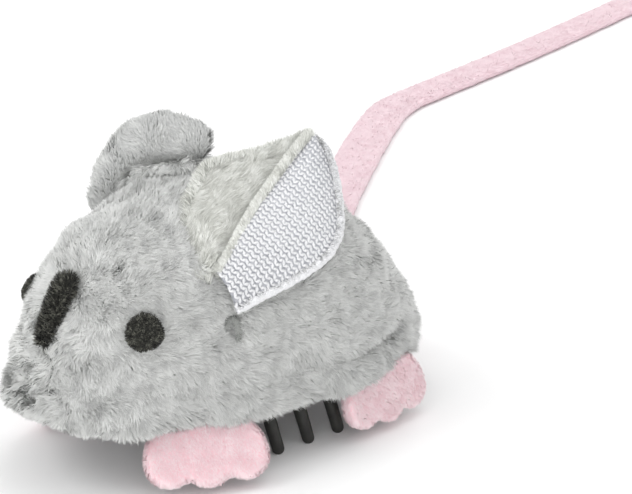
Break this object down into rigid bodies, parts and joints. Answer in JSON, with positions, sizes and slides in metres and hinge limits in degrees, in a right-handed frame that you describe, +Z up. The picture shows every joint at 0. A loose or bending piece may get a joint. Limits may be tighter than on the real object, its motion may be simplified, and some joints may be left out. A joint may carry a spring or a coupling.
{
  "type": "plush cat-toy mouse",
  "caption": "Grey plush mouse with pink paws and a long ribbon tail on a battery vibration drive that walks on slanted rubber legs.",
  "frame": {"origin": "on the surface under the leg tips, below the middle of the mouse without its tail", "axes": "+Z up, -Y towards the nose, +Y towards the tail, +X to the mouse's left"},
  "size_m": [0.1775, 0.3149, 0.0545],
  "materials": {
    "plush_grey": "plush pile",
    "felt_black": "short black pile",
    "plush_pink": "short soft pile",
    "fleece_pink": "fleece ribbon",
    "base_cloth_grey": "flat woven cloth",
    "wadding_white": "loose fibre",
    "rubber_black": "matt",
    "plastic_black": "fine spark texture",
    "plastic_white": "satin",
    "steel": "satin",
    "contact_metal": "plated",
    "weight_metal": "sintered",
    "board_green": "solder mask",
    "lead_red": "soft insulation",
    "lead_black": "soft insulation"
  },
  "bodies": {
    "mouse": {"base_cloth": "base_cloth_grey", "button_cells": "steel", "chassis_tray": "plastic_black", "circuit_board": "board_green", "contact_negative": "contact_metal", "contact_positive": "contact_metal", "ear_left": "plush_grey", "ear_right": "plush_grey", "eye_left": "felt_black", "eye_right": "felt_black", "fibre_stuffing": "wadding_white", "housing_screws": "steel", "lead_negative": "lead_black", "lead_positive": "lead_red", "leg_strip_left": "rubber_black", "leg_strip_right": "rubber_black", "motor_can": "steel", "motor_clip": "plastic_black", "motor_end_cap": "plastic_white", "nose_strip": "felt_black", "paw_front_left": "plush_pink", "paw_front_right": "plush_pink", "paw_rear_left": "plush_pink", "paw_rear_right": "plush_pink", "plush_cover": "plush_grey", "switch_body": "steel", "tail": "fleece_pink", "upper_housing": "plastic_black"},
    "drive_shaft": {"motor_shaft": "steel", "eccentric_weight": "weight_metal"},
    "switch_slider": {"switch_slider": "plastic_white"},
    "battery_door": {"battery_door": "plastic_black"},
    "door_screw": {"door_screw": "steel"},
    "leg_left_1": {"leg_left_1": "rubber_black"},
    "leg_left_2": {"leg_left_2": "rubber_black"},
    "leg_left_3": {"leg_left_3": "rubber_black"},
    "leg_left_4": {"leg_left_4": "rubber_black"},
    "leg_left_5": {"leg_left_5": "rubber_black"},
    "leg_right_1": {"leg_right_1": "rubber_black"},
    "leg_right_2": {"leg_right_2": "rubber_black"},
    "leg_right_3": {"leg_right_3": "rubber_black"},
    "leg_right_4": {"leg_right_4": "rubber_black"},
    "leg_right_5": {"leg_right_5": "rubber_black"}
  },
  "joints": [
    {"name": "drive_spin", "type": "hinge", "parent": "mouse", "child": "drive_shaft", "pos_m": [0, -0.013, 0.0195], "axis": [0, -1, 0], "continuous": true},
    {"name": "switch_slide", "type": "slide", "parent": "mouse", "child": "switch_slider", "axis": [1, 0, 0], "range_m": [0, 0.002]},
    {"name": "battery_door_lift", "type": "slide", "parent": "mouse", "child": "battery_door", "axis": [0, 0, -1], "range_m": [0, 0.012]},
    {"name": "door_screw_turn", "type": "hinge", "parent": "battery_door", "child": "door_screw", "pos_m": [0, 0.0214, 0.009], "axis": [0, 0, -1], "continuous": true},
    {"name": "leg_flex", "type": "hinge", "parent": "mouse", "child": "leg_left_1", "pos_m": [0.0152, -0.007, 0.01095], "axis": [1, 0, 0], "range_deg": [-8, 8], "stiffness_Nm_per_rad": 0.008},
    {"name": "leg_left_2_flex", "type": "hinge", "parent": "mouse", "child": "leg_left_2", "pos_m": [0.0152, -0.0003, 0.01095], "axis": [1, 0, 0], "range_deg": [-8, 8], "stiffness_Nm_per_rad": 0.008},
    {"name": "leg_left_3_flex", "type": "hinge", "parent": "mouse", "child": "leg_left_3", "pos_m": [0.0152, 0.0064, 0.01095], "axis": [1, 0, 0], "range_deg": [-8, 8], "stiffness_Nm_per_rad": 0.008},
    {"name": "leg_left_4_flex", "type": "hinge", "parent": "mouse", "child": "leg_left_4", "pos_m": [0.0152, 0.0131, 0.01095], "axis": [1, 0, 0], "range_deg": [-8, 8], "stiffness_Nm_per_rad": 0.008},
    {"name": "leg_left_5_flex", "type": "hinge", "parent": "mouse", "child": "leg_left_5", "pos_m": [0.0152, 0.0198, 0.01095], "axis": [1, 0, 0], "range_deg": [-8, 8], "stiffness_Nm_per_rad": 0.008},
    {"name": "leg_right_1_flex", "type": "hinge", "parent": "mouse", "child": "leg_right_1", "pos_m": [-0.0152, -0.007, 0.01095], "axis": [1, 0, 0], "range_deg": [-8, 8], "stiffness_Nm_per_rad": 0.008},
    {"name": "leg_right_2_flex", "type": "hinge", "parent": "mouse", "child": "leg_right_2", "pos_m": [-0.0152, -0.0003, 0.01095], "axis": [1, 0, 0], "range_deg": [-8, 8], "stiffness_Nm_per_rad": 0.008},
    {"name": "leg_right_3_flex", "type": "hinge", "parent": "mouse", "child": "leg_right_3", "pos_m": [-0.0152, 0.0064, 0.01095], "axis": [1, 0, 0], "range_deg": [-8, 8], "stiffness_Nm_per_rad": 0.008},
    {"name": "leg_right_4_flex", "type": "hinge", "parent": "mouse", "child": "leg_right_4", "pos_m": [-0.0152, 0.0131, 0.01095], "axis": [1, 0, 0], "range_deg": [-8, 8], "stiffness_Nm_per_rad": 0.008},
    {"name": "leg_right_5_flex", "type": "hinge", "parent": "mouse", "child": "leg_right_5", "pos_m": [-0.0152, 0.0198, 0.01095], "axis": [1, 0, 0], "range_deg": [-8, 8], "stiffness_Nm_per_rad": 0.008}
  ],
  "couplings": [
    {"joint": "leg_left_2_flex", "follows": "leg_flex", "ratio": 1},
    {"joint": "leg_left_3_flex", "follows": "leg_flex", "ratio": 1},
    {"joint": "leg_left_4_flex", "follows": "leg_flex", "ratio": 1},
    {"joint": "leg_left_5_flex", "follows": "leg_flex", "ratio": 1},
    {"joint": "leg_right_1_flex", "follows": "leg_flex", "ratio": 1},
    {"joint": "leg_right_2_flex", "follows": "leg_flex", "ratio": 1},
    {"joint": "leg_right_3_flex", "follows": "leg_flex", "ratio": 1},
    {"joint": "leg_right_4_flex", "follows": "leg_flex", "ratio": 1},
    {"joint": "leg_right_5_flex", "follows": "leg_flex", "ratio": 1}
  ]
}
